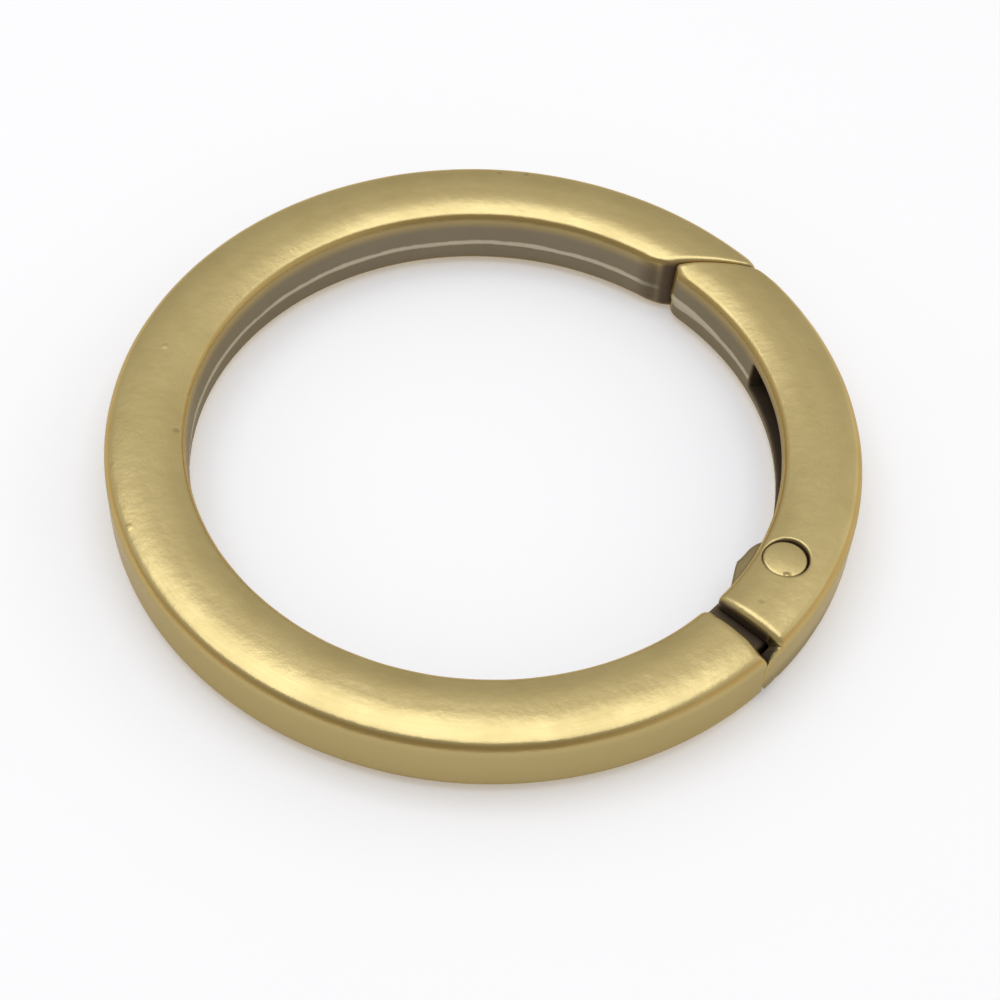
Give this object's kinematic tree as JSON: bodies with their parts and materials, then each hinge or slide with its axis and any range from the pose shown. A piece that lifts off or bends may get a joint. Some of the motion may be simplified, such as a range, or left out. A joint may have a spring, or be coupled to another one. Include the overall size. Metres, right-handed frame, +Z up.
{
  "type": "spring gate ring",
  "caption": "Round flat-lying metal ring with a spring-loaded gate on a riveted hinge that swings inward to take keys, straps or loops.",
  "frame": {"origin": "centre of the ring at its underside, on the surface that it lies on", "axes": "+Z up along the ring's axis, +X through the middle of the gate"},
  "size_m": [0.0484, 0.0484, 0.0049],
  "materials": {
    "cast_antique_brass": "antique brass plating over a zinc die casting, satin brushed, darker in the recesses",
    "rivet_antique_brass": "antique brass plating over a peened steel rivet, satin",
    "spring_steel": "drawn spring wire, slightly dull"
  },
  "bodies": {
    "ring": {"ring_body": "cast_antique_brass", "gate_spring": "spring_steel"},
    "gate_arm": {"gate": "cast_antique_brass", "hinge_rivet": "rivet_antique_brass"}
  },
  "joints": [
    {"name": "gate_hinge", "type": "hinge", "parent": "ring", "child": "gate_arm", "pos_m": [0.01884, -0.00927, 0.00245], "axis": [0, 0, 1], "range_deg": [0, 38], "stiffness_Nm_per_rad": 0.018, "springref_deg": -89.95, "deforming": ["gate_spring"]}
  ]
}
